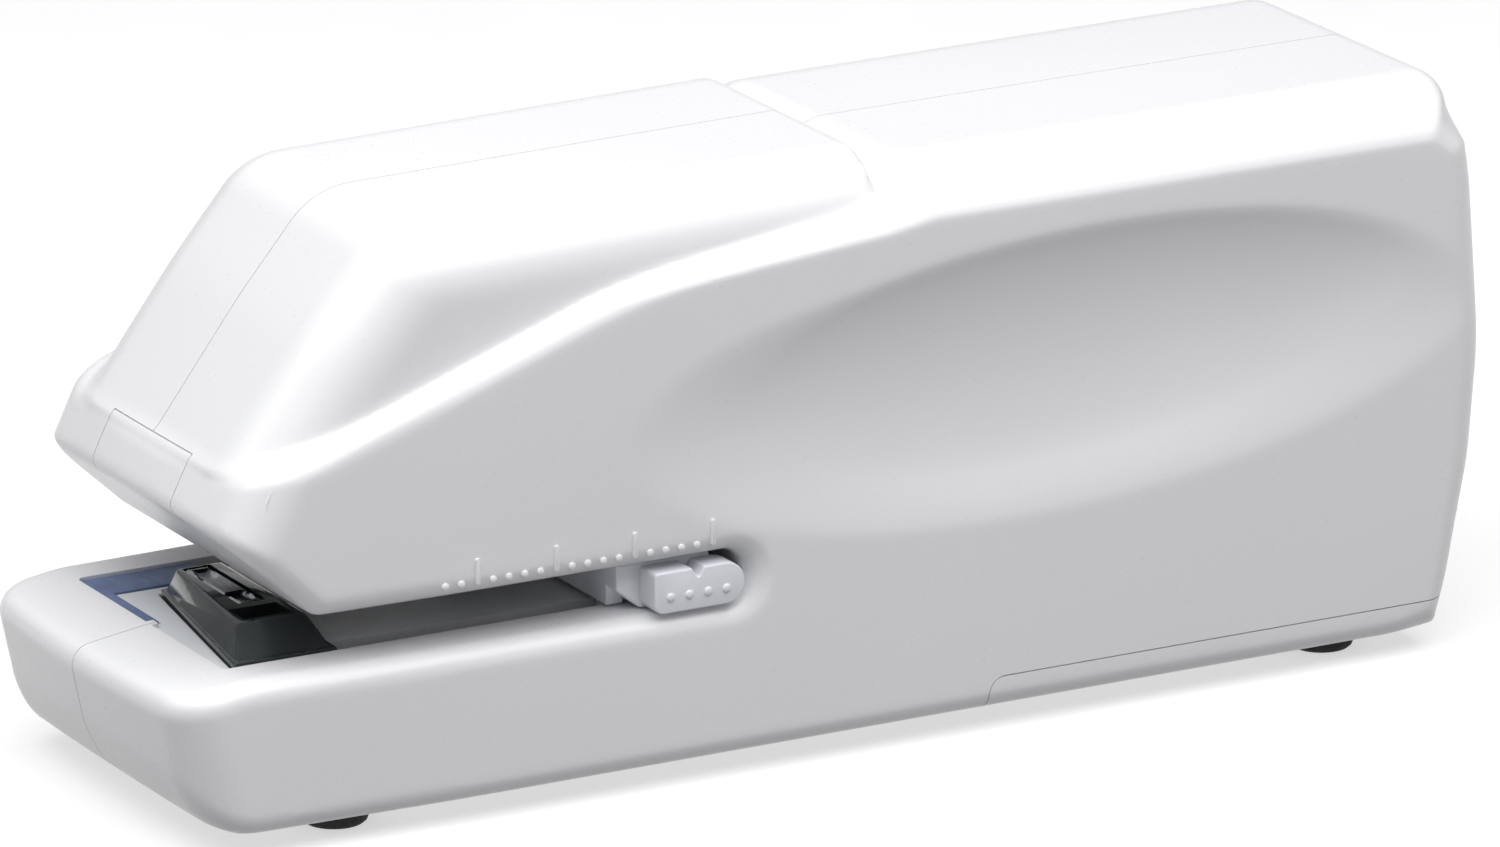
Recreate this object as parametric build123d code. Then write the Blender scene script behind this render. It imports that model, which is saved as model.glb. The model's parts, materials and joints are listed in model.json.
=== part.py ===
from build123d import *
import math
import os

# Electric stapler, millimetres. +X points to the rear, +Y to the left, +Z up.
# The origin is on the standing surface, below the middle of the bounding box.

# ---------------------------------------------------------------- driving dimensions
HALF_WIDTH = 26.2  # rear body and base
HOOD_HALF_WIDTH = 23.2
WALL = 2.0
UNDERSIDE_Z = 2.5
BASE_TOP_Z = 20.7
THROAT_TOP_Z = 26.9
THROAT_REAR_X = -13.0
BASE_TIP_X = -82.3  # at floor level; the base front leans forward from there
BASE_TIP_HALF_WIDTH = 25.4  # both arms are a little narrower at the front
ARM_FLARE = 3.5  # how much wider the rounding outlines are at X = 0, outside the casing
NOSE_RIDGE_X = -75.0
REAR_X = 86.2
SEAM_GAP = 0.15
ARM_SPLIT_Z = 23.8  # level in the throat that divides the base arm from the head
NOSE_RIDGE_Z = 43.3
MOUTH_HALF_WIDTH = 8.1  # slot in the head's underside for the magazine
PAPER_LEVER_X = -50.0
PAPER_LEVER_Z = 30.6

OPENING_FRONT_X = -76.1  # opening for the table in the base arm
OPENING_HALF_WIDTH = 18.8
CAP_HALF_WIDTH = 9.8
COVER_FRONT_X = 18.4
COVER_SEAM_Z = 6.6
TABLE_PLATE_FRONT_X = -61.2
FRONT_FEET_X = -61.6
REAR_FEET_X = 68.7
FOOT_Y = 17.0
TABLE_SHELF_Z = 17.6  # the table parts stand on the bracket at this level

STAPLE_X = -66.7  # staple line, where the driver blade comes down
RUNNING_GAP = 0.05  # radial clearance of a turning shaft
SHAFT_RADIUS = 2.0  # cam shaft and lever pivot
AXLE_RADIUS = 1.25  # stub axles of the two idlers
MOTOR_SHAFT_RADIUS = 1.0
ROLLER_PIN_RADIUS = 1.0
TIP_PIN_RADIUS = 1.1
PAPER_PIN_RADIUS = 0.75
ROD_RADIUS = 1.5  # bars that tie the chassis plates
MOTOR_SCREW_RADIUS = 1.1

CAM_X, CAM_Z = -28.0, 54.5
MODULE = 0.6
PRESSURE_ANGLE = math.radians(20)
GEAR_BACKLASH = 0.12
WHEEL_TEETH = 40  # large wheel of each idler
IDLER_TEETH = 12  # small wheel of each idler
PINION_TEETH = 10
CAM_GEAR_TEETH = 38
LAYERS = {"cam": (10.0, 12.0), "middle": (12.4, 14.4), "motor": (14.8, 16.8)}
TRAIN_SLOPE = -7.5  # degrees, the first two steps of the gear train drop to the rear

CAM_TURN = 175  # degrees for one full stroke
STROKE = 10.5  # travel of the driver blade
LEVER_X, LEVER_Z = 0.0, 43.0  # lever pivot
TIP_PIN_X = -61.0
TIP_PIN_Z = LEVER_Z + STROKE / 2
ROLLER_X, ROLLER_Z = CAM_X, 46.6
ROLLER_RADIUS = 2.5
CAM_SMALL_RADIUS = 5.0
CAM_RISE = 4.83

PLATE_INNER_Y = 8.2  # inner faces of the two chassis plates
PLATE_OUTER_Y = 9.4
TRAY_HALF_WIDTH = 7.6
TRAY_FRONT_X = -67.8
TRAY_REAR_X = -2.0
STICK_REAR_X = -32.0
GUIDE_X = -28.4  # front face of the depth guide's fence
ROD_PLACES = [(-48.0, 60.0), (3.0, 34.0)]

CELL_RADIUS = 7.2
CELL_PITCH = 14.55
CELL_LENGTH = 50.0
CELL_FRONT_X = 24.6
CONTACT_GAP = 3.05  # from a cell's end to the contact plate
CONTACT_SHEET = 0.35

SCREW_PLACES = [(-72.5, 10.5), (-25.0, 10.5), (13.5, 12.0), (77.0, 61.0), (44.0, 62.0), (-70.4, 40.2)]


# ---------------------------------------------------------------- helpers
def box(x_min, x_max, y_min, y_max, z_min, z_max):
    """Box given by its limits."""
    centre = ((x_min + x_max) / 2, (y_min + y_max) / 2, (z_min + z_max) / 2)
    return Pos(*centre) * Box(x_max - x_min, y_max - y_min, z_max - z_min)


def side_plane(y):
    """Plane at Y = y whose own x and y run along X and Z, and whose normal is -Y."""
    return Plane(origin=(0, y, 0), x_dir=(1, 0, 0), z_dir=(0, -1, 0))


def extrude_side(face, y_min, y_max):
    """Solid from a face drawn in X and Z, between two values of Y."""
    return side_plane(y_max) * extrude(face, amount=y_max - y_min)


def side_prism(points, y_min, y_max, radii=0):
    face = make_face(FilletPolyline(*points, radius=radii, close=True))
    return extrude_side(face, y_min, y_max)


def end_prism(points, x_min, x_max):
    """Solid from an outline drawn in Y and Z, between two values of X."""
    plane = Plane(origin=(x_min, 0, 0), x_dir=(0, 1, 0), z_dir=(1, 0, 0))
    return plane * extrude(make_face(Polyline(*points, close=True)), amount=x_max - x_min)


def rod(x, z, radius, y_min, y_max):
    """Round bar along Y."""
    return side_plane(y_max) * (Pos(x, z) * extrude(Circle(radius), amount=y_max - y_min))


def rod_along_x(y, z, radius, x_min, x_max):
    plane = Plane(origin=(x_min, y, z), x_dir=(0, 1, 0), z_dir=(1, 0, 0))
    return plane * extrude(Circle(radius), amount=x_max - x_min)


def mirrored(shape):
    return mirror(shape, about=Plane.XZ)


def coil_along_x(y, z, radius, wire, x_min, x_max, turns):
    """Helical spring along X."""
    length = x_max - x_min - wire
    path = Helix(pitch=length / turns, height=length, radius=radius)
    section = Plane(origin=path @ 0, z_dir=path % 0) * Circle(wire / 2)
    spring = sweep(section, path=path)
    plane = Plane(origin=(x_min + wire / 2, y, z), x_dir=(0, 1, 0), z_dir=(1, 0, 0))
    return plane * spring


# ---------------------------------------------------------------- casing
def arm_face():
    """Side outline of the base arm, the rear body and the head arm below the hood."""
    corners = [
        ((-92.0, 18.0), 0),
        ((-92.0, 10.5), 0),
        ((-80.2, UNDERSIDE_Z), 2.0),
        ((80.3, UNDERSIDE_Z), 1.0),
        ((82.2, 8.4), 0),
        ((85.1, 22.7), 20),
        ((REAR_X, 37.0), 30),
        ((84.6, 57.0), 20),
        ((82.6, 68.9), 3.2),
        ((10.0, 68.3), 1.5),
        ((4.0, 65.6), 0),
        ((-27.4, 60.3), 60),
        ((-57.7, 49.6), 60),
        ((-74.6, 43.4), 0.8),
        ((-76.7, 41.7), 0.8),
        ((-78.8, 37.5), 0.6),
        ((-67.4, THROAT_TOP_Z), 1.5),
        ((THROAT_REAR_X, THROAT_TOP_Z), 3.0),
        ((THROAT_REAR_X, BASE_TOP_Z), 3.0),
        ((OPENING_FRONT_X, BASE_TOP_Z), 0),
    ]
    points = [corner[0] for corner in corners]
    return make_face(FilletPolyline(*points, radius=[corner[1] for corner in corners], close=True))


def hood_face():
    """Side outline of the raised hood; its lower edge is buried in the arm."""
    corners = [
        ((-75.3, 43.0), 0.5),
        ((-64.3, 57.6), 80),
        ((-54.6, 68.7), 9),
        ((-20.0, 69.5), 0),
        ((5.2, 70.0), 1.0),
        ((5.6, 60.0), 0),
        ((-28.0, 50.0), 0),
        ((-66.0, 36.0), 0),
    ]
    points = [corner[0] for corner in corners]
    return make_face(FilletPolyline(*points, radius=[corner[1] for corner in corners], close=True))


def cross_section(half_width, top_z, bottom_z, top_radius, bottom_radius):
    """Solid along X with the casing's rounded cross-section."""
    points = [(-half_width, bottom_z), (half_width, bottom_z), (half_width, top_z), (-half_width, top_z)]
    radii = [bottom_radius, bottom_radius, top_radius, top_radius]
    face = make_face(FilletPolyline(*points, radius=radii, close=True))
    plane = Plane(origin=(-100, 0, 0), x_dir=(0, 1, 0), z_dir=(1, 0, 0))
    return plane * extrude(face, amount=200)


def base_rounding(inset):
    """Upright solid with the bowed front of the base arm, leaning forward as it rises."""
    front_x = BASE_TIP_X + inset
    side_x = front_x + 1.2
    front_half = BASE_TIP_HALF_WIDTH - inset
    rear_half = front_half + ARM_FLARE
    outline = [(front_x, 0), (side_x, -front_half), (0, -rear_half), (0, rear_half), (side_x, front_half)]
    corner = 5 - inset
    face = make_face(FilletPolyline(*outline, radius=[60, corner, 0, 0, corner], close=True))
    return slanted(face, ARM_SPLIT_Z, -0.21)


def slanted(face, height, lean):
    """Extrude a plan face to the given height, moving it by lean along X for each mm of height."""
    return extrude(face, amount=abs(height) * math.hypot(1, lean), dir=(lean, 0, math.copysign(1, height)))


def nose_rounding(inset):
    """Upright solid that rounds the two front corners of the head."""
    front_x = NOSE_RIDGE_X + inset
    front_half = BASE_TIP_HALF_WIDTH - inset
    rear_half = front_half + ARM_FLARE
    outline = [(front_x, -front_half), (0, -rear_half), (0, rear_half), (front_x, front_half)]
    corner = 6.5 - inset
    face = make_face(FilletPolyline(*outline, radius=[corner, 0, 0, corner], close=True))
    below = Pos(0, 0, NOSE_RIDGE_Z) * slanted(face, ARM_SPLIT_Z - NOSE_RIDGE_Z, -0.6)
    above = Pos(0, 0, NOSE_RIDGE_Z) * extrude(face, amount=40)
    return below + above


def round_hood(hood, inset):
    """Round the long edges between the hood's sides and its nose and top."""
    rims = [edge for edge in hood.edges() if is_hood_rim(edge)]
    return fillet(rims, 8.0 - inset)


def is_hood_rim(edge):
    """True for an edge that runs along a side of the hood, above the line from its nose to its rear lip."""
    limits = edge.bounding_box()
    middle = edge.center()
    chord_z = 43.0 + (middle.X + 75.3) * 27 / 80.5
    return limits.max.Y - limits.min.Y < 0.01 and middle.Z > chord_z + 0.5


def casing_volume(inset):
    """Whole casing volume, made smaller by inset on every side."""
    half_width = HALF_WIDTH - inset
    side = arm_face()
    hood_side = hood_face()
    if inset:
        side = offset(side, amount=-inset, kind=Kind.INTERSECTION)
        hood_side = offset(hood_side, amount=-inset, kind=Kind.INTERSECTION)
    body = extrude_side(side, -half_width, half_width)
    body = body & cross_section(half_width, 68.9 - inset, UNDERSIDE_Z + inset, 9.5 - inset, 2.5 - inset)
    body = body - (box(-100, -40, -40, 40, -5, ARM_SPLIT_Z) - base_rounding(inset))
    body = body - (box(-100, -40, -40, 40, ARM_SPLIT_Z, 90) - nose_rounding(inset))
    hood_half_width = HOOD_HALF_WIDTH - inset
    return body + round_hood(extrude_side(hood_side, -hood_half_width, hood_half_width), inset)


def grip_dimple(side, inset):
    """Shallow egg-shaped scoop in one side, deeper by inset for the inner face of the wall."""
    depth = 8.0 + inset
    scoop = scale(Sphere(1), by=(61.0 + inset, depth, 18.6 + inset))
    return Pos(28.5, side * (HALF_WIDTH + 4.5), 43.2) * Rot(0, -3, 0) * scoop


def depth_scale(side):
    """Raised ruler on the side: a tick every 10 mm and a dot every 2 mm."""
    face_y = side * HALF_WIDTH
    marks = []
    for step in range(18):
        x = -52.0 + 2 * step
        if step % 5 == 2:
            marks.append(box(x - 0.25, x + 0.25, face_y - 0.3, face_y + 0.3, 28.3, 31.4))
        else:
            marks.append(rod(x, 28.6, 0.45, face_y - 0.3, face_y + 0.3))
    return marks


def nose_region(half_width, top_z, rear_x):
    """Space of the cap in the nose, in front of rear_x and below top_z."""
    return box(-90, rear_x, -half_width, half_width, ARM_SPLIT_Z + 1, top_z)


def hollow_casing():
    outer = casing_volume(0) - grip_dimple(1, 0) - grip_dimple(-1, 0)
    inner = casing_volume(WALL) - grip_dimple(1, WALL) - grip_dimple(-1, WALL)
    return outer - inner


def screw_posts():
    """Two-part posts that join the shells; the right one takes the thread, the left one the head."""
    posts = []
    for x, z in SCREW_PLACES:
        posts.append(rod(x, z, 3.0, -HALF_WIDTH + 1.5, HALF_WIDTH - 1.5))
    return posts


def screw_holes():
    holes = []
    for x, z in SCREW_PLACES:
        holes.append(rod(x, z, 1.1, -14, 2))
        holes.append(rod(x, z, 1.3, -1, 14))
        holes.append(rod(x, z, 2.15, 12, HALF_WIDTH + 5))
    return holes


def shells(casing):
    """The two halves of the casing, with every opening cut."""
    body = casing
    for post in screw_posts():
        body = body + (post & casing_core())
    for mark in depth_scale(1) + depth_scale(-1):
        body = body + mark
    body = body - nose_region(CAP_HALF_WIDTH + SEAM_GAP, NOSE_RIDGE_Z, STAPLE_X)
    body = body - box(-75, -9, -MOUTH_HALF_WIDTH, MOUTH_HALF_WIDTH, 25, THROAT_TOP_Z + 2.6)
    body = body - box(OPENING_FRONT_X, THROAT_REAR_X - 2, -OPENING_HALF_WIDTH, OPENING_HALF_WIDTH, 17, 23)
    body = body - box(PAPER_LEVER_X - 3.2, PAPER_LEVER_X + 9, 12.2, 15.8, 25, 31)
    body = body - box(COVER_FRONT_X - SEAM_GAP, 100, -40, 40, -1, COVER_SEAM_Z)
    for hole in screw_holes():
        body = body - hole
    left = body & box(-100, 100, 0, 40, -5, 90)
    right = body & box(-100, 100, -40, 0, -5, 90)
    return left, right


def casing_core():
    """Volume inside the outer faces, used to trim what is added to the walls."""
    return casing_volume(0.5)


def nose_cap(casing):
    """Middle of the nose, the front of the magazine drawer, with the block that carries the tray."""
    skin = casing & nose_region(CAP_HALF_WIDTH, NOSE_RIDGE_Z - SEAM_GAP, TRAY_FRONT_X)
    block = box(-71.5, TRAY_FRONT_X, -6.5, 6.5, 31.0, 34.8)
    return skin + block


def battery_cover(casing):
    return casing & box(COVER_FRONT_X, 100, -40, 40, -1, COVER_SEAM_Z - SEAM_GAP)


def feet(x):
    """A pair of round rubber feet glued under the casing."""
    return [Pos(x, y, UNDERSIDE_Z / 2) * Cylinder(3.9, UNDERSIDE_Z) for y in (-FOOT_Y, FOOT_Y)]


def casing_screws():
    """Self-tapping screws, put in from the left side."""
    screws = []
    for x, z in SCREW_PLACES:
        screws.append(rod(x, z, 1.05, -12, 12) + rod(x, z, 2.0, 12, 13.6))
    return screws


# ---------------------------------------------------------------- table in the base arm
def table_frame():
    """Raised frame with bevelled sides, a window for the anvil and a pocket beside it."""
    foot = make_face(Polyline((-74.6, -18.4), (-61.6, -18.4), (-61.6, 10.2), (-69.7, 10.2), close=True))
    top = make_face(Polyline((-71.9, -13.8), (-63.2, -13.8), (-63.2, 7.6), (-68.9, 7.6), close=True))
    bevel = loft([Pos(0, 0, BASE_TOP_Z) * foot, Pos(0, 0, 23.9) * top])
    frame = bevel + Pos(0, 0, TABLE_SHELF_Z) * extrude(foot, amount=BASE_TOP_Z - TABLE_SHELF_Z)
    frame = frame - box(STAPLE_X - 1.8, STAPLE_X + 1.8, -7.3, 7.3, 17, 25)
    return frame - box(-70.5, -64.5, -12.8, -8.6, 20.5, 25)


def anvil():
    """Steel strip with a clinch groove for each leg of the staple."""
    strip = box(STAPLE_X - 1.5, STAPLE_X + 1.5, -7, 7, TABLE_SHELF_Z, 23.8)
    for side in (-1, 1):
        strip = strip - box(STAPLE_X - 0.5, STAPLE_X + 0.5, side * 4.6 - 1.9, side * 4.6 + 1.9, 23.3, 25)
    return strip


def blue_strip():
    """L-shaped trim along the left and front edges of the opening."""
    along = box(-75.9, -61.6, 12.7, 18.6, TABLE_SHELF_Z, 20.4)
    across = box(-75.9, -74.4, 1.0, 12.7, TABLE_SHELF_Z, 20.4)
    return along + across


def front_plate():
    """Pale plate that fills the opening in front of the table frame and to its left."""
    outline = [(-75.9, -18.6), (-74.9, -18.6), (-69.9, 10.4), (-61.8, 10.4)]
    outline = outline + [(-61.8, 12.5), (-74.2, 12.5), (-74.2, 0.8), (-75.9, 0.8)]
    plate = extrude(make_face(Polyline(*outline, close=True)), amount=2.6)
    return Pos(0, 0, TABLE_SHELF_Z) * plate


def table_plate():
    """Steel plate that the paper rests on, between the two slots for the depth guide."""
    rear_x = THROAT_REAR_X - 2.3
    plate = box(TABLE_PLATE_FRONT_X, rear_x, -15.2, 15.2, 19.4, 20.4)
    right_flange = box(TABLE_PLATE_FRONT_X, rear_x, -15.2, -14.2, 15, 19.4)
    left_flange = box(TABLE_PLATE_FRONT_X, rear_x, 14.2, 15.2, 15, 19.4)
    return plate + right_flange + left_flange


def table_bracket():
    """Steel channel in the base arm that carries the table parts."""
    floor = box(-76.5, THROAT_REAR_X - 2.3, -14, 14, 4.5, 5.7)
    floor = floor - rod(SCREW_PLACES[1][0], SCREW_PLACES[1][1], 3.3, -30, 30)
    shelf = box(-76.5, -61.6, -14, 14, 16.4, TABLE_SHELF_Z)
    front = box(-63.0, -61.8, -14, 14, 5.7, 16.4)
    rear = box(-17.0, -15.8, -14, 14, 5.7, 19.4)
    return floor + shelf + front + rear


# ---------------------------------------------------------------- depth guide
def depth_guide():
    """Fence across the throat, hooked under both edges of the opening."""
    fence = box(GUIDE_X, GUIDE_X + 2.2, -20.0, 20.0, 20.95, 26.3)
    fence = fence - box(GUIDE_X - 1, GUIDE_X + 3, 12.0, 16.0, 21.9, 27)
    for y in range(-9, 10, 6):
        fence = fence + box(GUIDE_X + 2.2, GUIDE_X + 5.0, y - 0.6, y + 0.6, 20.95, 25.0)
    rear_x = GUIDE_X + 12
    arm_outline = [(GUIDE_X, 26.3), (GUIDE_X, 23.4), (GUIDE_X + 3, 20.95), (rear_x, 20.95), (rear_x, 26.3)]
    for side in (-1, 1):
        arm = side_prism(arm_outline, *sorted((side * 19.0, side * 22.5)), [0.2, 0.6, 0.6, 0.4, 0.4])
        leg = box(GUIDE_X + 1, GUIDE_X + 9, *sorted((side * 15.6, side * 18.4)), 16.6, 23.0)
        hook = box(GUIDE_X + 1, GUIDE_X + 9, *sorted((side * 15.6, side * 21.5)), 16.2, 18.2)
        web = box(GUIDE_X + 3.6, GUIDE_X + 9, *sorted((side * 15.6, side * 22.5)), 20.95, 23.0)
        fence = fence + arm + leg + hook + web
    return fence


def guide_knob(side):
    """Grip at the end of the guide, with a pointer notch and four ribs."""
    corners = [(-25.4, 25.9), (-25.4, 21.0), (-13.8, 21.0), (-13.8, 25.9)]
    knob = side_prism(corners, 22.5, HALF_WIDTH, [0.4, 1.2, 2.4, 2.4])
    pointer = [(-20.6, 26.2), (-19.8, 24.6), (-19.0, 26.2)]
    knob = knob - side_prism(pointer, 22, 27)
    for step in range(4):
        knob = knob + rod(-23.4 + 2.4 * step, 22.9, 0.45, HALF_WIDTH - 0.3, HALF_WIDTH + 0.3)
    return knob if side > 0 else mirrored(knob)


# ---------------------------------------------------------------- magazine drawer
def magazine_tray():
    """Steel channel: side walls, a floor behind the staple line and a front wall."""
    outer = box(TRAY_FRONT_X, TRAY_REAR_X, -TRAY_HALF_WIDTH, TRAY_HALF_WIDTH, 27.4, 35.0)
    room = box(TRAY_FRONT_X + 0.7, TRAY_REAR_X - 0.8, -TRAY_HALF_WIDTH + 0.8, TRAY_HALF_WIDTH - 0.8, 28.2, 36)
    slot = box(TRAY_FRONT_X + 0.7, STAPLE_X + 0.5, -6.8, 6.8, 27, 29)
    return outer - room - slot


def magazine_rail():
    """Upturned channel that the staples straddle, slotted along the top for the pusher."""
    rail = box(STAPLE_X + 0.5, TRAY_REAR_X - 0.8, -5.4, 5.4, 28.2, 33.5)
    rail = rail - box(STAPLE_X + 1.3, TRAY_REAR_X - 1.6, -4.6, 4.6, 28.2, 32.7)
    return rail - box(STAPLE_X + 6, TRAY_REAR_X - 6, -1.1, 1.1, 32, 34)


def channel_on_rail(x_min, x_max, top_z):
    """Upturned channel that slides over the rail."""
    shape = box(x_min, x_max, -6.35, 6.35, 28.5, top_z)
    return shape - box(x_min - 1, x_max + 1, -5.75, 5.75, 28, 33.75)


def staple_stick():
    return channel_on_rail(STAPLE_X + 0.6, STICK_REAR_X, 34.3)


def pusher():
    """Saddle behind the staples, with a tongue that reaches the spring inside the rail."""
    saddle = channel_on_rail(STICK_REAR_X, STICK_REAR_X + 9, 34.5)
    tongue = box(STICK_REAR_X + 1, STICK_REAR_X + 8, -0.8, 0.8, 32.0, 33.8)
    head = box(STICK_REAR_X + 1, STICK_REAR_X + 8, -3.6, 3.6, 28.9, 32.2)
    return saddle + tongue + head


def pusher_spring():
    return coil_along_x(0, 30.5, 1.7, 0.7, STICK_REAR_X + 8.05, TRAY_REAR_X - 1.65, 6)


# ---------------------------------------------------------------- chassis
def chassis_plate(side):
    """Steel side plate of the drive; the left one reaches back to carry the motor."""
    front = [(-64.0, 29.0), (-64.0, 50.0), (-56.0, 60.5), (-44.0, 65.5), (-5.0, 65.5), (-2.0, 62.6)]
    rear = [(5.3, 62.6), (5.3, 29.0)]
    if side > 0:
        rear = [(31.0, 62.6), (31.0, 38.0), (6.5, 38.0), (6.5, 29.0)]
    corners = front + rear
    inner_y, outer_y = sorted((side * PLATE_INNER_Y, side * PLATE_OUTER_Y))
    plate = side_prism(corners, inner_y, outer_y)
    plate = plate - box(-62.3, -59.7, -20, 20, 34.6, 51.6)
    plate = plate - rod(CAM_X, CAM_Z, SHAFT_RADIUS + RUNNING_GAP, -20, 20)
    for x, z in ROD_PLACES:
        plate = plate - rod(x, z, ROD_RADIUS, -20, 20)
    plate = plate - rod(LEVER_X, LEVER_Z, SHAFT_RADIUS, -20, 20)
    if side > 0:
        plate = plate - rod(MOTOR_X, MOTOR_Z, 3.2, 0, 20)
        for x, z in motor_screw_places():
            plate = plate - rod(x, z, MOTOR_SCREW_RADIUS, 0, 20)
        for x, z in axle_places():
            plate = plate - rod(x, z, AXLE_RADIUS, 0, 20)
        plate = plate - rod(PAPER_LEVER_X, PAPER_LEVER_Z, PAPER_PIN_RADIUS, 0, 20)
    return plate


def chassis_rods():
    """Two bars that tie the plates together and locate them between the shells."""
    return [rod(x, z, ROD_RADIUS, -half, half) for (x, z), half in zip(ROD_PLACES, (20.4, 22.0))]


# ---------------------------------------------------------------- gear train
def step_along(place, distance, degrees):
    """Point at a distance and angle from another, in X and Z."""
    angle = math.radians(degrees)
    return (place[0] + distance * math.cos(angle), place[1] + distance * math.sin(angle))


def centre_distance(teeth_a, teeth_b):
    return MODULE * (teeth_a + teeth_b) / 2


CAM_PLACE = (CAM_X, CAM_Z)
SECOND_IDLER = step_along(CAM_PLACE, centre_distance(CAM_GEAR_TEETH, IDLER_TEETH), TRAIN_SLOPE)
FIRST_IDLER = step_along(SECOND_IDLER, centre_distance(WHEEL_TEETH, IDLER_TEETH), TRAIN_SLOPE)
MOTOR_X, MOTOR_Z = step_along(FIRST_IDLER, centre_distance(WHEEL_TEETH, PINION_TEETH), 0)


def axle_places():
    return [SECOND_IDLER, FIRST_IDLER]


def involute_angle(radius, base_radius):
    """Polar angle of an involute where it crosses a radius."""
    if radius <= base_radius:
        return 0
    ratio = math.sqrt((radius / base_radius) ** 2 - 1)
    return ratio - math.atan(ratio)


def gear_face(teeth, addendum, dedendum, phase):
    """Involute spur gear; phase is the angle of one tooth's middle, in degrees."""
    pitch_radius = MODULE * teeth / 2
    base_radius = pitch_radius * math.cos(PRESSURE_ANGLE)
    root = pitch_radius - dedendum
    tip = pitch_radius + addendum
    half_tooth = math.pi / (2 * teeth) - GEAR_BACKLASH / (2 * pitch_radius)
    half_tooth = half_tooth + involute_angle(pitch_radius, base_radius)
    start = max(root, base_radius)
    radii = [start + (tip - start) * step / 3 for step in range(4)]
    flank = [(radius, half_tooth - involute_angle(radius, base_radius)) for radius in radii]
    if root < base_radius:
        flank = [(root, half_tooth * 0.9)] + flank
    outline = []
    for tooth in range(teeth):
        middle = math.radians(phase) + 2 * math.pi * tooth / teeth
        for radius, angle in flank:
            outline.append((radius * math.cos(middle - angle), radius * math.sin(middle - angle)))
        for radius, angle in reversed(flank):
            outline.append((radius * math.cos(middle + angle), radius * math.sin(middle + angle)))
    return make_face(Polyline(*outline, close=True))


def gear(teeth, place, layer, phase, bore, wheel=True):
    """Gear in one layer of the train; wheels have short teeth so that small pinions clear them."""
    addendum = 0.36 if wheel else 0.58
    dedendum = 0.74 if wheel else 0.52
    y_min, y_max = LAYERS[layer]
    blank = extrude_side(Pos(*place) * gear_face(teeth, addendum, dedendum, phase), y_min, y_max)
    return blank - rod(*place, bore, y_min - 1, y_max + 1)


def gap_phase(slope, teeth):
    """Phase of a driven pinion that puts a gap where the wheel before it has a tooth."""
    return slope + 180 + 180 / teeth


def cam_gear():
    return gear(CAM_GEAR_TEETH, CAM_PLACE, "cam", TRAIN_SLOPE, SHAFT_RADIUS)


def idler(place, wheel_layer, pinion_layer, slope_in, slope_out):
    """Compound idler: a pinion towards the cam and a wheel towards the motor, on one hub."""
    bore = AXLE_RADIUS + RUNNING_GAP
    pinion = gear(IDLER_TEETH, place, pinion_layer, gap_phase(slope_in, IDLER_TEETH), bore, wheel=False)
    wheel = gear(WHEEL_TEETH, place, wheel_layer, slope_out, bore)
    low = min(LAYERS[pinion_layer][1], LAYERS[wheel_layer][1])
    high = max(LAYERS[pinion_layer][0], LAYERS[wheel_layer][0])
    collar = rod(*place, 2.6, low, high) - rod(*place, bore, low - 1, high + 1)
    return pinion + collar + wheel


def second_idler_gear():
    return idler(SECOND_IDLER, "middle", "cam", TRAIN_SLOPE, TRAIN_SLOPE)


def first_idler_gear():
    return idler(FIRST_IDLER, "motor", "middle", TRAIN_SLOPE, 0)


def idler_axles():
    """Stub axles pressed into the left plate, headed at the outer end to keep the gears on."""
    axles = []
    for place, end_y in zip(axle_places(), (14.7, 17.1)):
        axles.append(rod(*place, AXLE_RADIUS, PLATE_INNER_Y, end_y) + rod(*place, 2.0, end_y, end_y + 0.5))
    return axles


def motor_pinion():
    phase = gap_phase(0, PINION_TEETH)
    return gear(PINION_TEETH, (MOTOR_X, MOTOR_Z), "motor", phase, MOTOR_SHAFT_RADIUS, wheel=False)


def motor_shaft():
    return rod(MOTOR_X, MOTOR_Z, MOTOR_SHAFT_RADIUS, -16, 17.5)


def motor_can():
    """Steel can with its front boss in the left plate, hollow around the shaft."""
    can = rod(MOTOR_X, MOTOR_Z, 11.8, -15.5, PLATE_INNER_Y) + rod(MOTOR_X, MOTOR_Z, 3.1, 8, 9.6)
    can = can & box(MOTOR_X - 20, MOTOR_X + 20, -40, 40, MOTOR_Z - 10.0, MOTOR_Z + 10.0)
    can = can - rod(MOTOR_X, MOTOR_Z, MOTOR_SHAFT_RADIUS + RUNNING_GAP, -20, 20)
    for x, z in motor_screw_places():
        can = can - rod(x, z, MOTOR_SCREW_RADIUS, 4, 9)
    return can


def motor_end_cap():
    cap = rod(MOTOR_X, MOTOR_Z, 10.6, -18.2, -15.5) & box(0, 40, -40, 40, MOTOR_Z - 9.6, MOTOR_Z + 9.6)
    return cap - rod(MOTOR_X, MOTOR_Z, 1.4, -17, -15)


def motor_screw_places():
    return [(MOTOR_X - 6.5, MOTOR_Z), (MOTOR_X + 6.5, MOTOR_Z)]


def motor_screws():
    screws = []
    for x, z in motor_screw_places():
        thread = rod(x, z, MOTOR_SCREW_RADIUS, 4.5, PLATE_OUTER_Y)
        head = rod(x, z, 2.0, PLATE_OUTER_Y, 10.6)
        screws.append(thread + head)
    return screws


# ---------------------------------------------------------------- cam, lever and driver
def cam_radius(turn):
    """Radius of the heart-shaped cam; turn runs from 0 at the notch to 180 at the point."""
    return CAM_SMALL_RADIUS + CAM_RISE * turn / CAM_TURN


def cam_disc():
    """Heart cam: both flanks rise evenly, so the lever moves in proportion to the turn."""
    outline = []
    for step in range(-18, 18):
        turn = 10 * step
        angle = math.radians(turn - 90)
        outline.append((cam_radius(abs(turn)) * math.cos(angle), cam_radius(abs(turn)) * math.sin(angle)))
    disc = extrude_side(Pos(*CAM_PLACE) * make_face(Polyline(*outline, close=True)), -2.4, 2.4)
    return disc - rod(*CAM_PLACE, SHAFT_RADIUS, -3, 3)


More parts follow.
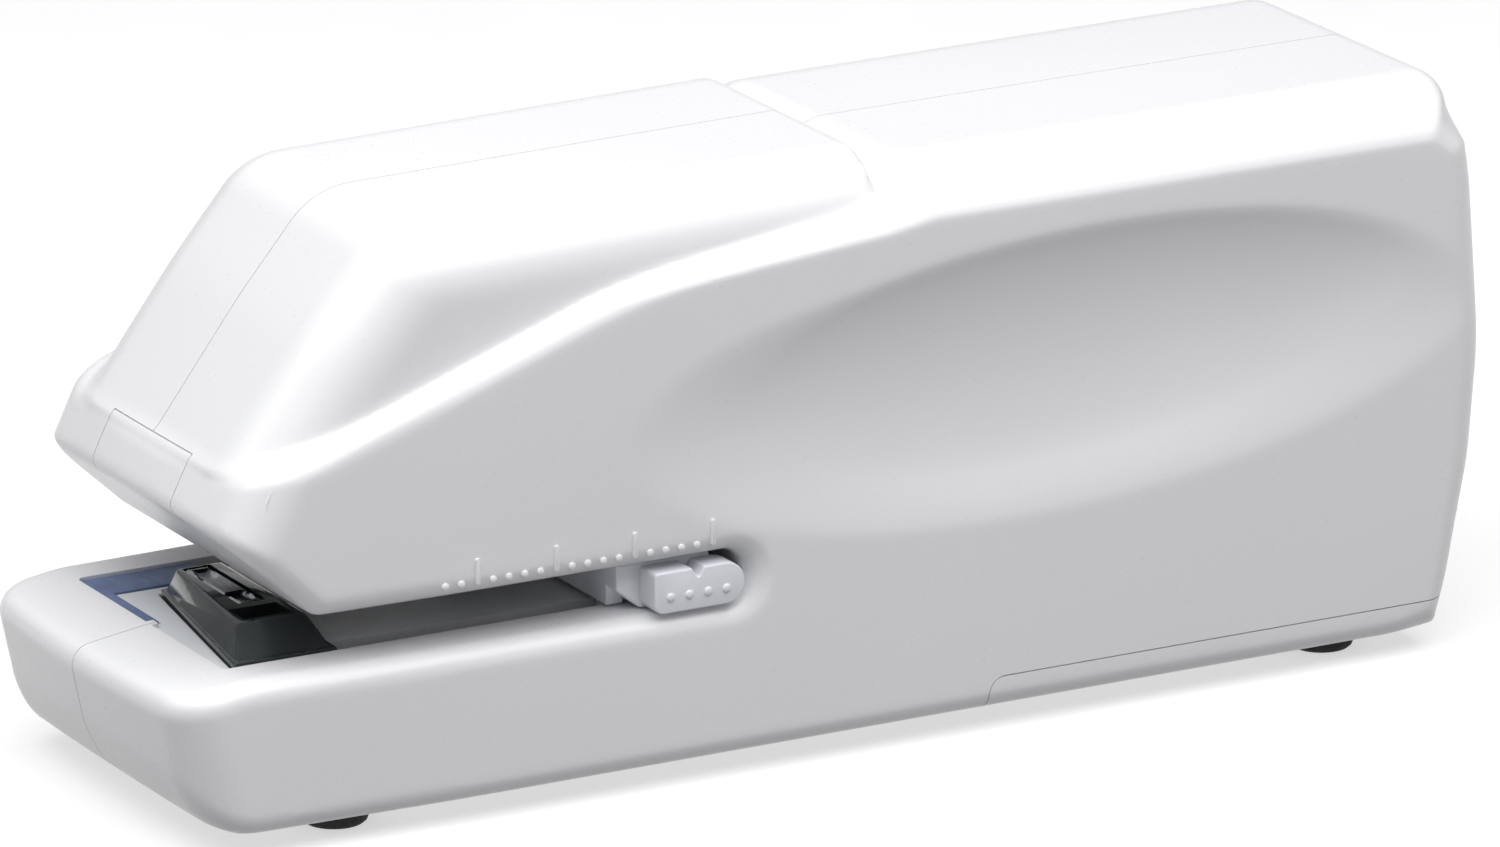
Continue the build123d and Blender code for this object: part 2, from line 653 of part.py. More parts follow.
def cam_shaft():
    return rod(*CAM_PLACE, SHAFT_RADIUS, -PLATE_OUTER_Y - 0.6, 12.3)


def lever_cheek(y_min, y_max):
    circles = [
        Pos(LEVER_X, LEVER_Z) * Circle(4.2),
        Pos(ROLLER_X, ROLLER_Z) * Circle(3.6),
        Pos(TIP_PIN_X, TIP_PIN_Z) * Circle(2.2),
    ]
    edges = [edge for circle in circles for edge in circle.edges()]
    return extrude_side(make_face(make_hull(edges)), y_min, y_max)


def drive_lever():
    """Two steel cheeks joined by webs, straddling the cam, the roller and the driver."""
    lever = lever_cheek(3.6, 5.2) + lever_cheek(-5.2, -3.6)
    lever = lever + box(-54.5, -38, -4, 4, 45.8, 48.2) + box(-20, -9, -4, 4, 43.8, 46.2)
    lever = lever - rod(LEVER_X, LEVER_Z, SHAFT_RADIUS + RUNNING_GAP, -9, 9)
    lever = lever - rod(ROLLER_X, ROLLER_Z, ROLLER_PIN_RADIUS, -9, 9)
    return lever - rod(TIP_PIN_X, TIP_PIN_Z, TIP_PIN_RADIUS, -9, 9)


def lever_pivot():
    return rod(LEVER_X, LEVER_Z, SHAFT_RADIUS, -PLATE_OUTER_Y, PLATE_OUTER_Y)


def roller_pin():
    return rod(ROLLER_X, ROLLER_Z, ROLLER_PIN_RADIUS, -5.2, 5.2)


def cam_roller():
    roller = rod(ROLLER_X, ROLLER_Z, ROLLER_RADIUS, -3.2, 3.2)
    return roller - rod(ROLLER_X, ROLLER_Z, ROLLER_PIN_RADIUS + RUNNING_GAP, -4, 4)


def lever_tip_pin():
    return rod(TIP_PIN_X, TIP_PIN_Z, TIP_PIN_RADIUS, -5.2, 5.2)


def return_spring():
    """Torsion spring around the pivot, between the lever's cheeks."""
    wire = 0.7
    length = 5.2
    path = Helix(pitch=length / 5, height=length, radius=3.0)
    section = Plane(origin=path @ 0, z_dir=path % 0) * Circle(wire / 2)
    coil = sweep(section, path=path)
    return side_plane(length / 2) * Pos(LEVER_X, LEVER_Z) * coil


def driver_holder():
    """Block behind the blade; its tabs run in slots in the plates and the lever pin in its window."""
    holder = box(-66.2, -64.4, -8.0, 8.0, 46.2, 50.4)
    holder = holder + box(-64.4, -58.4, -3.3, 3.3, 46.2, 50.4)
    for side in (-1, 1):
        arm = box(-64.4, -60.0, *sorted((side * 6.0, side * 8.0)), 46.2, 50.4)
        tab = box(-62.0, -60.0, *sorted((side * 6.0, side * 9.2)), 46.2, 50.4)
        holder = holder + arm + tab
    return holder - box(TIP_PIN_X - 1.7, TIP_PIN_X + 1.7, -4, 4, TIP_PIN_Z - 1.25, TIP_PIN_Z + 1.25)


def driver_blade():
    return box(STAPLE_X - 0.2, STAPLE_X + 0.5, -6.2, 6.2, 35.4, 50.4)


# ---------------------------------------------------------------- paper sensing
def paper_lever():
    """Bent lever: the lower arm hangs into the throat, the upper one rests by the switch."""
    hub = rod(PAPER_LEVER_X, PAPER_LEVER_Z, 1.7, 12.9, 15.1)
    lower = box(PAPER_LEVER_X - 0.8, PAPER_LEVER_X + 0.8, 12.9, 15.1, 22.4, PAPER_LEVER_Z)
    upper = box(PAPER_LEVER_X - 0.8, PAPER_LEVER_X + 0.8, 12.9, 15.1, PAPER_LEVER_Z, 36.0)
    return hub + lower + upper - rod(PAPER_LEVER_X, PAPER_LEVER_Z, PAPER_PIN_RADIUS + RUNNING_GAP, 10, 20)


def paper_lever_pin():
    return rod(PAPER_LEVER_X, PAPER_LEVER_Z, PAPER_PIN_RADIUS, PLATE_INNER_Y, 16.2)


def microswitch():
    front_x = PAPER_LEVER_X + 6
    button = box(front_x - 1, front_x, 13.4, 14.6, 35.2, 36.4)
    return box(front_x, front_x + 8, PLATE_OUTER_Y, 15.0, 33.5, 39.5) + button


# ---------------------------------------------------------------- electrics
def circuit_board():
    return box(-48, 0, -14.6, -13.0, 40.5, 57.5)


def board_components():
    """Parts soldered to the board: a relay, two capacitors, two transistors and a connector."""
    parts = [box(-46, -35, -18.4, -14.6, 45, 55), box(-8, -2, -17.4, -14.6, 43, 53)]
    parts = parts + [rod(x, 52.5, 2.5, -18.2, -14.6) for x in (-30, -23)]
    return parts + [box(x, x + 4.5, -16.2, -14.6, 42.5, 46.0) for x in (-32, -24)]


def board_posts():
    """Spacers that hold the board off the right plate."""
    return [rod(x, 42.6, 1.5, -13.0, -PLATE_OUTER_Y) for x in (-45.5, -3.5)]


def tray_outline(widen):
    """Section of the battery tray in Y and Z, following the two outer stacks of cells."""
    return [
        (-22.0 - widen, 7.2),
        (-22.0 - widen, 28.5 + widen / 3),
        (-19.0 - widen, 34.7 + widen),
        (19.0 + widen, 34.7 + widen),
        (22.0 + widen, 28.5 + widen / 3),
        (22.0 + widen, 7.2),
    ]


def battery_tray():
    """Tray open at the bottom, with an end wall for the contacts at each end."""
    rear_x = CELL_FRONT_X + CELL_LENGTH + 4.6
    front_x = CELL_FRONT_X - 4.6
    tray = end_prism(tray_outline(0.8), front_x, rear_x)
    room = [(y, z - 1 if z < 10 else z) for y, z in tray_outline(0)]
    return tray - end_prism(room, front_x + 1.2, rear_x - 1.2)


def cell_places():
    """Three stacks of two cells."""
    return [(CELL_PITCH * (column - 1), 12.2 + CELL_PITCH * row) for row in range(2) for column in range(3)]


def battery_cell(y, z, flipped):
    """AA cell with its positive button."""
    can = rod_along_x(y, z, CELL_RADIUS, CELL_FRONT_X, CELL_FRONT_X + CELL_LENGTH - 1.2)
    button = rod_along_x(y, z, 2.7, CELL_FRONT_X + CELL_LENGTH - 1.2, CELL_FRONT_X + CELL_LENGTH)
    cell = can + button
    if flipped:
        middle = CELL_FRONT_X + CELL_LENGTH / 2
        cell = mirror(cell, about=Plane(origin=(middle, 0, 0), z_dir=(1, 0, 0)))
    return cell


def contact_springs():
    """Coned contact springs, each modelled as the plain cone that its turns lie on."""
    springs = []
    for index, (y, z) in enumerate(cell_places()):
        if index % 2:
            x = CELL_FRONT_X + CELL_LENGTH + CONTACT_GAP / 2
            turn = -90
        else:
            x = CELL_FRONT_X - CONTACT_GAP / 2
            turn = 90
        springs.append(Pos(x, y, z) * Rot(0, turn, 0) * Cone(3.8, 2.2, CONTACT_GAP))
    return springs


def contact_plates():
    plates = []
    for x in (CELL_FRONT_X - CONTACT_GAP - CONTACT_SHEET, CELL_FRONT_X + CELL_LENGTH + CONTACT_GAP):
        for y, z in cell_places():
            plates.append(box(x, x + CONTACT_SHEET, y - 5, y + 5, z - 5, z + 5))
    return plates


# ---------------------------------------------------------------- every node
def nodes():
    casing = hollow_casing()
    left, right = shells(casing)
    parts = {
        "left_shell": left,
        "right_shell": right,
        "nose_cap": nose_cap(casing),
        "battery_cover": battery_cover(casing),
        "front_feet": feet(FRONT_FEET_X),
        "rear_feet": feet(REAR_FEET_X),
        "casing_screws": casing_screws(),
        "table_frame": table_frame(),
        "anvil": anvil(),
        "blue_strip": blue_strip(),
        "front_plate": front_plate(),
        "table_plate": table_plate(),
        "table_bracket": table_bracket(),
        "depth_guide": depth_guide(),
        "left_guide_knob": guide_knob(1),
        "right_guide_knob": guide_knob(-1),
        "magazine_tray": magazine_tray(),
        "magazine_rail": magazine_rail(),
        "staple_stick": staple_stick(),
        "pusher": pusher(),
        "pusher_spring": pusher_spring(),
        "left_chassis_plate": chassis_plate(1),
        "right_chassis_plate": chassis_plate(-1),
        "chassis_rods": chassis_rods(),
        "motor_can": motor_can(),
        "motor_end_cap": motor_end_cap(),
        "motor_screws": motor_screws(),
        "motor_shaft": motor_shaft(),
        "motor_pinion": motor_pinion(),
        "first_idler_gear": first_idler_gear(),
        "second_idler_gear": second_idler_gear(),
        "idler_axles": idler_axles(),
        "cam_gear": cam_gear(),
        "cam_disc": cam_disc(),
        "cam_shaft": cam_shaft(),
        "drive_lever": drive_lever(),
        "lever_pivot": lever_pivot(),
        "cam_roller": cam_roller(),
        "roller_pin": roller_pin(),
        "lever_tip_pin": lever_tip_pin(),
        "return_spring": return_spring(),
        "driver_holder": driver_holder(),
        "driver_blade": driver_blade(),
        "paper_lever": paper_lever(),
        "paper_lever_pin": paper_lever_pin(),
        "microswitch": microswitch(),
        "circuit_board": circuit_board(),
        "board_components": board_components(),
        "board_posts": board_posts(),
        "battery_tray": battery_tray(),
        "contact_springs": contact_springs(),
        "contact_plates": contact_plates(),
    }
    for index, (y, z) in enumerate(cell_places()):
        parts["battery_cell_" + str(index + 1)] = battery_cell(y, z, index % 2 == 1)
    return parts


def main():
    os.makedirs("parts", exist_ok=True)
    for name, shape in nodes().items():
        if isinstance(shape, list):
            shape = Compound(children=shape)
        export_step(shape, "parts/" + name + ".step")


main()
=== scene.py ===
import json
import math

import bmesh
import bpy
import numpy as np
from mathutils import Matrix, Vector


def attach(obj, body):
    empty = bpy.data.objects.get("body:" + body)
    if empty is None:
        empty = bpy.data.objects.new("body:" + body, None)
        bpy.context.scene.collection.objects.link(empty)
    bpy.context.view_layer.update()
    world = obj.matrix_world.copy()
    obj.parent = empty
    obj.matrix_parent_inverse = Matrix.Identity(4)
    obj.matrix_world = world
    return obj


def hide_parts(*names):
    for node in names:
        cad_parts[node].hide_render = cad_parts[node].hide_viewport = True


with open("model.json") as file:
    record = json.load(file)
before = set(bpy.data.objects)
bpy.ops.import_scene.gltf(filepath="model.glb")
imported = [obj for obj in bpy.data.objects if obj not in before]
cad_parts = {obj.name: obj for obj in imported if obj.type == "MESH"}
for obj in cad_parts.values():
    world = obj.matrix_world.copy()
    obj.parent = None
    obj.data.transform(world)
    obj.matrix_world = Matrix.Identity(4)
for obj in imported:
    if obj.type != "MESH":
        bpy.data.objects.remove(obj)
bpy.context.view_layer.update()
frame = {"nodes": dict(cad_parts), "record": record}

# Electric stapler. Lengths in this script are millimetres unless a name ends in _m.
MM = 0.001
NODES = frame["nodes"]

# ---------------------------------------------------------------- shared sizes of the casing
HALF_WIDTH = 26.2
HOOD_HALF_WIDTH = 23.2
WALL = 2.0
THROAT_TOP_Z = 26.9
BASE_TOP_Z = 20.7
THROAT_REAR_X = -13.0
NOSE_RIDGE_Z = 43.3
COVER_FRONT_X = 18.4
COVER_SEAM_Z = 6.6
SEAM = 0.14  # width of the joint line between two mouldings
GRID = 0.62  # spacing of the casing's surface points
ROOM_GRID = 2.4  # spacing of the points on the room inside, which is hardly seen

CAP_HALF_WIDTH = 9.8
CAP_SLOT_HALF_WIDTH = 9.95
STAPLE_X = -66.7
TRAY_FRONT_X = -67.8
MAGAZINE_MOUTH_HALF_WIDTH = 8.1
PAPER_LEVER_SLOT = (-53.2, -41, 12.2, 15.8, 25, 31)
TABLE_SHELF_Z = 17.6  # the table parts stand on the bracket at this level

GUIDE_X = -28.4  # front face of the depth guide's fence
GUIDE_LOW_Z = 20.95
GUIDE_TOP_Z = 26.3
GUIDE_ARM_END_Y = 22.5  # the knobs start here

FRONT_FEET_X = -61.6
REAR_FEET_X = 68.7
FOOT_Y = 17.0

SCALE_FRONT_X = -52.0
SCALE_STEP = 2
SCALE_MARKS = 18
POST_RADIUS = 3.0
POST_END_Y = 24.35
FLOOR_HALF_WIDTH = 3000
FLOOR_THICKNESS = 8

SCREW_PLACES = [(-72.5, 10.5), (-25.0, 10.5), (13.5, 12.0), (77.0, 61.0), (44.0, 62.0), (-70.4, 40.2)]


# ---------------------------------------------------------------- outlines and distances
def rounded_outline(corners, steps=8):
    """Points of a closed outline from (x, z, radius) corners, each corner turned into an arc."""
    points = []
    count = len(corners)
    for index, (x, z, radius) in enumerate(corners):
        here = np.array([x, z], float)
        back = np.array(corners[index - 1][:2], float) - here
        ahead = np.array(corners[(index + 1) % count][:2], float) - here
        back = back / np.linalg.norm(back)
        ahead = ahead / np.linalg.norm(ahead)
        half_angle = math.acos(np.clip(back @ ahead, -1, 1)) / 2
        if radius == 0 or half_angle > 1.565:
            points.append(here)
            continue
        bisector = (back + ahead) / np.linalg.norm(back + ahead)
        centre = here + bisector * radius / math.sin(half_angle)
        start = here + back * radius / math.tan(half_angle) - centre
        end = here + ahead * radius / math.tan(half_angle) - centre
        first = math.atan2(start[1], start[0])
        sweep = (math.atan2(end[1], end[0]) - first + math.pi) % (2 * math.pi) - math.pi
        for step in range(steps + 1):
            angle = first + sweep * step / steps
            points.append(centre + radius * np.array([math.cos(angle), math.sin(angle)]))
    return np.array(points)


def outline_distance(points, x, z):
    """Signed distance to a closed outline, negative inside. x and z are arrays that broadcast together."""
    x, z = np.broadcast_arrays(x, z)
    nearest = np.full(x.shape, 1e9)
    inside = np.zeros(x.shape, bool)
    for index in range(len(points)):
        ax, az = points[index - 1]
        bx, bz = points[index]
        ex, ez = bx - ax, bz - az
        length = ex * ex + ez * ez
        if length < 1e-12:
            continue
        along = np.clip(((x - ax) * ex + (z - az) * ez) / length, 0, 1)
        nearest = np.minimum(nearest, (x - ax - along * ex) ** 2 + (z - az - along * ez) ** 2)
        crosses = (az > z) != (bz > z)
        if az != bz:
            inside ^= crosses & (x < ax + (z - az) * ex / ez)
    return np.where(inside, -1, 1) * np.sqrt(nearest)


def round_both(a, b, radius):
    """Intersection of two solids with an outer edge of the given radius."""
    outside = np.hypot(np.maximum(a + radius, 0), np.maximum(b + radius, 0))
    return np.minimum(np.maximum(a, b) + radius, 0) + outside - radius


def round_either(a, b, radius):
    """Union of two solids with an inner fillet of the given radius."""
    corner = np.hypot(np.maximum(radius - a, 0), np.maximum(radius - b, 0))
    return np.maximum(radius, np.minimum(a, b)) - corner


def ramp(value, low, high):
    """Smooth step from 0 at low to 1 at high."""
    part = np.clip((value - low) / (high - low), 0, 1)
    return part * part * (3 - 2 * part)


def ellipsoid_distance(x, y, z, radii):
    near = np.sqrt((x / radii[0]) ** 2 + (y / radii[1]) ** 2 + (z / radii[2]) ** 2) + 1e-9
    slope = np.sqrt((x / radii[0] ** 2) ** 2 + (y / radii[1] ** 2) ** 2 + (z / radii[2] ** 2) ** 2) + 1e-9
    return near * (near - 1) / slope


# ---------------------------------------------------------------- the casing as one smooth solid
ARM = rounded_outline([
    (-95.0, 17.9, 0), (-79.2, 2.5, 12),
    (80.3, 2.5, 1.2), (82.2, 8.4, 30), (85.1, 22.7, 40), (86.2, 37.0, 50), (84.6, 57.0, 40),
    (82.6, 68.9, 3.4),
    (10.0, 68.4, 4), (3.5, 65.9, 8), (-27.4, 60.2, 120), (-57.7, 49.4, 140), (-90.0, 37.8, 0),
    (-90.0, 47.9, 0), (-67.4, THROAT_TOP_Z, 2.5),
    (THROAT_REAR_X, THROAT_TOP_Z, 3.0), (THROAT_REAR_X, BASE_TOP_Z, 3.0), (-76.0, BASE_TOP_Z, 20),
])
HOOD = rounded_outline([
    (-75.6, 42.6, 0), (-64.3, 57.6, 120), (-54.8, 68.75, 10), (-20.0, 69.45, 0), (20.0, 70.1, 0),
    (20.0, 64.0, 0), (-28.0, 50.0, 0), (-66.0, 36.0, 0),
])
HOOD_REAR_X = 5.4
ARM_SPLIT_Z = 23.8  # level in the throat that divides the base arm from the head
GRIP_CENTRE = (28.5, 30.7, 43.2)
GRIP_RADII = (61.0, 8.0, 18.6)
GRIP_TILT = math.radians(3)


def grip_distance(x, side, z):
    """Signed distance to the ellipsoid that scoops out the grip, and the place along and above its middle."""
    along = (x - GRIP_CENTRE[0]) * math.cos(GRIP_TILT) + (z - GRIP_CENTRE[2]) * math.sin(GRIP_TILT)
    above = (z - GRIP_CENTRE[2]) * math.cos(GRIP_TILT) - (x - GRIP_CENTRE[0]) * math.sin(GRIP_TILT)
    return ellipsoid_distance(along, side - GRIP_CENTRE[1], above, GRIP_RADII), along, above


def front_distance(x, y, z):
    """Signed distance to the leaning front faces of the base and of the nose."""
    base_lean, nose_lean = 0.21, 0.49  # mm along X for each mm of height
    bow = 0.9 * (y / 20) ** 2
    base = (-82.3 - base_lean * z + bow - x) / math.hypot(1, base_lean)
    nose = (-76.5 - nose_lean * (41.7 - z) + bow - x) / math.hypot(1, nose_lean)
    return np.where(z < ARM_SPLIT_Z, base, nose)


def casing_distance(x, y, z):
    """Signed distance to the closed outer form of the whole casing."""
    side = np.abs(y)
    half_width = HALF_WIDTH - 0.8 * ramp(-x, 45, 80)  # both arms are a little narrower at the front
    plan = round_both(side - half_width, front_distance(x, y, z), 5.5)
    bottom_edge = 2.6
    edge = bottom_edge + 6.9 * ramp(z, 58, 66)  # wide rounding along the top
    edge = edge - 1.8 * ramp(z, 13, 17) * (1 - ramp(z, 33, 38))  # crisp rims along the throat
    edge = np.maximum(edge, bottom_edge + 2.4 * ramp(x, 72, 84))  # softer rear corners
    edge = edge + 1.0 * np.exp(-((x + 12) / 3) ** 2 - ((z - ARM_SPLIT_Z) / 5) ** 2)  # end of the throat
    edge = edge - 1.4 * ramp(z, 34, 38) * ramp(-x, 66, 74)  # crisp sides of the nose
    body = round_both(outline_distance(ARM, x, z), plan, edge)
    hood = round_both(outline_distance(HOOD, x, z), side - HOOD_HALF_WIDTH, 8.5)
    hood = round_both(hood, x - HOOD_REAR_X, 0.8)
    closed = round_either(body, hood, 0.9)
    scoop, along, above = grip_distance(x, side, z)
    grip_edge = 0.4 + 1.1 * np.maximum(1 - ramp(above, -6, 6), ramp(-along, 24, 52))  # crisp at the top rear
    return round_both(closed, -scoop, grip_edge)


def surface_net(distance, low, high, spacing):
    """Closed quad mesh of the zero level of a distance function, as points and quads facing outwards."""
    axes = [np.arange(low[i], high[i] + spacing, spacing) for i in range(3)]
    field = distance(axes[0][:, None, None], axes[1][None, :, None], axes[2][None, None, :])
    cells = tuple(count - 1 for count in field.shape)
    total = np.zeros(cells + (3,))
    count = np.zeros(cells)
    edges = []
    for axis in range(3):
        u, v = (axis + 1) % 3, (axis + 2) % 3
        turned = np.moveaxis(field, (axis, u, v), (0, 1, 2))
        near, far = turned[:-1], turned[1:]
        crossed = (near < 0) != (far < 0)
        place = np.indices(near.shape).astype(float)
        place[0] += np.where(crossed, near / np.where(crossed, near - far, 1), 0)
        total_view = np.moveaxis(total, (axis, u, v), (0, 1, 2))
        count_view = np.moveaxis(count, (axis, u, v), (0, 1, 2))
        for du in (0, 1):
            for dv in (0, 1):
                cut = (slice(None), slice(du, du + cells[u]), slice(dv, dv + cells[v]))
                count_view += crossed[cut]
                for k, part in enumerate((axis, u, v)):
                    total_view[..., part] += np.where(crossed[cut], place[k][cut], 0)
        edges.append((axis, u, v, crossed, near < 0))
    used = count > 0
    index = np.full(cells, -1)
    index[used] = np.arange(used.sum())
    points = total[used] / count[used][:, None] * spacing + np.array([line[0] for line in axes])
    quads = []
    for axis, u, v, crossed, starts_inside in edges:
        i, j, k = np.nonzero(crossed[:, 1:-1, 1:-1])
        j, k = j + 1, k + 1
        view = np.moveaxis(index, (axis, u, v), (0, 1, 2))
        ring = np.stack([view[i, j - 1, k - 1], view[i, j, k - 1], view[i, j, k], view[i, j - 1, k]], axis=1)
        flip = ~starts_inside[i, j, k]
        ring[flip] = ring[flip][:, ::-1]
        quads.append(ring)
    return points, np.concatenate(quads)


def pull_onto_surface(points, distance, rounds, reach):
    """Move points along the slope of a distance function until they lie on its zero level."""
    step = 0.02
    for _ in range(rounds):
        x, y, z = points.T
        here = distance(x, y, z)
        slope = np.stack([
            distance(x + step, y, z) - here,
            distance(x, y + step, z) - here,
            distance(x, y, z + step) - here,
        ], axis=1) / step
        length = np.maximum((slope ** 2).sum(axis=1), 0.25)
        move = np.clip(-here / length, -reach, reach)
        points = points + slope * move[:, None]
    return points


def signed_volume(points, quads):
    a, b, c, d = (points[quads[:, i]] for i in range(4))
    return ((a * np.cross(b, c)).sum() + (a * np.cross(c, d)).sum()) / 6


def casing_mesh():
    """The casing as one closed wall: its outer surface and the surface of the room inside."""
    low, high = (-90.0, -28.0, 0.5), (89.0, 28.0, 73.0)
    outer, outer_quads = surface_net(casing_distance, low, high, GRID)
    outer = pull_onto_surface(outer, casing_distance, 3, 0.4 * GRID)

    def room_distance(x, y, z):
        return casing_distance(x, y, z) + WALL

    inner, inner_quads = surface_net(room_distance, low, high, ROOM_GRID)
    if signed_volume(outer, outer_quads) < 0:
        outer_quads = outer_quads[:, ::-1]
    if signed_volume(inner, inner_quads) > 0:
        inner_quads = inner_quads[:, ::-1]
    points = np.concatenate([outer, inner]) * MM
    quads = np.concatenate([outer_quads, inner_quads + len(outer)])
    mesh = bpy.data.meshes.new("casing")
    mesh.from_pydata(points.tolist(), [], quads.tolist())
    return mesh


# ---------------------------------------------------------------- mesh helpers
def mesh_object(name, mesh):
    made = bpy.data.objects.new(name, mesh)
    bpy.context.scene.collection.objects.link(made)
    return made


def bmesh_object(name, form):
    """Object from a bmesh in millimetres."""
    bmesh.ops.scale(form, vec=(MM, MM, MM), verts=form.verts)
    bmesh.ops.recalc_face_normals(form, faces=form.faces)
    mesh = bpy.data.meshes.new(name)
    form.to_mesh(mesh)
    form.free()
    return mesh_object(name, mesh)


def soften(form, width, segments=3, angle=30):
    """Round every edge that turns by more than the given angle."""
    sharp = [edge for edge in form.edges if edge.calc_face_angle(0) > math.radians(angle)]
    bmesh.ops.bevel(form, geom=sharp, offset=width, segments=segments, profile=0.5,
                    affect="EDGES", clamp_overlap=True)


def add_prism(form, outline, axis, low, high, bevel=0.0, segments=3):
    """Add a closed prism; its outline is in (y, z) for axis X, (x, z) for axis Y and (x, y) for axis Z."""
    part = bmesh.new()
    turns = {"X": lambda a, b, t: (t, a, b), "Y": lambda a, b, t: (a, t, b), "Z": lambda a, b, t: (a, b, t)}
    place = turns[axis]
    rings = [[part.verts.new(place(a, b, t)) for a, b in outline] for t in (low, high)]
    part.faces.new(rings[0])
    part.faces.new(rings[1][::-1])
    for index in range(len(outline)):
        part.faces.new((rings[0][index - 1], rings[1][index - 1], rings[1][index], rings[0][index]))
    bmesh.ops.recalc_face_normals(part, faces=part.faces)
    if bevel:
        soften(part, bevel, segments)
    add_form(form, part)


def add_form(form, part):
    """Copy one bmesh into another and free it."""
    spare = bpy.data.meshes.new("spare")
    part.to_mesh(spare)
    part.free()
    form.from_mesh(spare)
    bpy.data.meshes.remove(spare)


def rectangle(x_min, x_max, y_min, y_max):
    return [(x_min, y_min), (x_max, y_min), (x_max, y_max), (x_min, y_max)]


def add_box(form, x_min, x_max, y_min, y_max, z_min, z_max, bevel=0.0):
    add_prism(form, rectangle(x_min, x_max, y_min, y_max), "Z", z_min, z_max, bevel)


def add_lathe(form, profile, centre, axis="Z", steps=48):
    """Closed solid of revolution from (radius, height) points that start and end on the axis."""
    part = bmesh.new()
    rings = []
    for radius, height in profile:
        ring = []
        for step in range(steps if radius > 0 else 1):
            angle = 2 * math.pi * step / steps
            a, b = radius * math.cos(angle), radius * math.sin(angle)
            offset = (a, b, height) if axis == "Z" else (a, height, b)
            ring.append(part.verts.new([c + o for c, o in zip(centre, offset)]))
        rings.append(ring)
    for lower, upper in zip(rings, rings[1:]):
        for step in range(steps):
            corners = [lower[step % len(lower)], lower[(step + 1) % len(lower)],
                       upper[(step + 1) % len(upper)], upper[step % len(upper)]]
            part.faces.new(list(dict.fromkeys(corners)))
    bmesh.ops.recalc_face_normals(part, faces=part.faces)
    add_form(form, part)


def solid(*adds):
    """Bmesh from calls that each add to it."""
    form = bmesh.new()
    for add in adds:
        add(form)
    return form


def applied(target):
    """Turn the modifiers of an object into its own mesh."""
    graph = bpy.context.evaluated_depsgraph_get()
    mesh = bpy.data.meshes.new_from_object(target.evaluated_get(graph))
    target.modifiers.clear()
    target.data = mesh


def combine(target, operation, form, solver="MANIFOLD"):
    """Boolean of an object with a bmesh in millimetres."""
    tool = bmesh_object("tool", form)
    modifier = target.modifiers.new("cut", "BOOLEAN")
    modifier.operation = operation
    modifier.solver = solver
    modifier.object = tool
    applied(target)
    bpy.data.objects.remove(tool)


def smooth(target, angle=35):
    target.data.shade_smooth()
    target.data.set_sharp_from_angle(angle=math.radians(angle))


def piece(target, body, slot, nodes, angle=35):
    """Finish a new piece: shading, material, the body it rides on and the CAD nodes it stands for."""
    smooth(target, angle)
    target.data.materials.clear()
    target.data.materials.append(MATERIALS[slot])
    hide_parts(*nodes)
    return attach(target, body)


# ---------------------------------------------------------------- materials
def shader(name):
    """New material with its node tree and its Principled shader."""
    material = bpy.data.materials.new(name)
    material.use_nodes = True
    return material, material.node_tree, material.node_tree.nodes["Principled BSDF"]


def noise(tree, scale, detail=3.0, stretch=(1, 1, 1)):
    """Noise in object space; scale is in bumps per millimetre."""
    place = tree.nodes.new("ShaderNodeTexCoord")
    mapping = tree.nodes.new("ShaderNodeMapping")
    mapping.inputs["Scale"].default_value = [part / MM for part in stretch]
    texture = tree.nodes.new("ShaderNodeTexNoise")
    texture.inputs["Scale"].default_value = scale
    texture.inputs["Detail"].default_value = detail
    tree.links.new(place.outputs["Object"], mapping.inputs["Vector"])
    tree.links.new(mapping.outputs["Vector"], texture.inputs["Vector"])
    return texture.outputs["Fac"]


def spread(tree, value, low, high):
    """Map a noise value between about 0.3 and 0.7 onto a range."""
    node = tree.nodes.new("ShaderNodeMapRange")
    node.inputs["From Min"].default_value = 0.3
    node.inputs["From Max"].default_value = 0.7
    node.inputs["To Min"].default_value = low
    node.inputs["To Max"].default_value = high
    tree.links.new(value, node.inputs["Value"])
    return node.outputs["Result"]


def tint(tree, value, first, second):
    node = tree.nodes.new("ShaderNodeMix")
    node.data_type = "RGBA"
    node.inputs["A"].default_value = (*first, 1)
    node.inputs["B"].default_value = (*second, 1)
    tree.links.new(value, node.inputs["Factor"])
    return node.outputs["Result"]


def bump(tree, value, depth_mm):
    node = tree.nodes.new("ShaderNodeBump")
    node.inputs["Strength"].default_value = 1.0
    node.inputs["Distance"].default_value = depth_mm * MM
    tree.links.new(value, node.inputs["Height"])
    return node.outputs["Normal"]


def grained(name, first, second, rough, grain, depth, metallic=0.0, patch=0.06, stretch=(1, 1, 1), **sockets):
    """Material with slow colour patches, uneven gloss and a fine surface grain."""
    material, tree, surface = shader(name)
    patches = noise(tree, patch, 4.0)
    fine = noise(tree, grain, 3.0, stretch)
    tree.links.new(tint(tree, spread(tree, patches, 0, 1), first, second), surface.inputs["Base Color"])
    tree.links.new(spread(tree, fine, *rough), surface.inputs["Roughness"])
    tree.links.new(bump(tree, fine, depth), surface.inputs["Normal"])
    surface.inputs["Metallic"].default_value = metallic
    for socket, value in sockets.items():
        surface.inputs[socket.replace("_", " ")].default_value = value
    return material


def wound_jacket():
    """Cell jacket: a dark sleeve with a fine printed grain."""
    material, tree, surface = shader("cell_jacket")
    fine = noise(tree, 1.5, 2.0, (0.1, 1, 1))
    tree.links.new(tint(tree, spread(tree, fine, 0, 1), (0.10, 0.11, 0.13), (0.16, 0.17, 0.20)),
                   surface.inputs["Base Color"])
    tree.links.new(spread(tree, fine, 0.25, 0.4), surface.inputs["Roughness"])
    tree.links.new(bump(tree, fine, 0.01), surface.inputs["Normal"])
    surface.inputs["Metallic"].default_value = 0.6
    return material


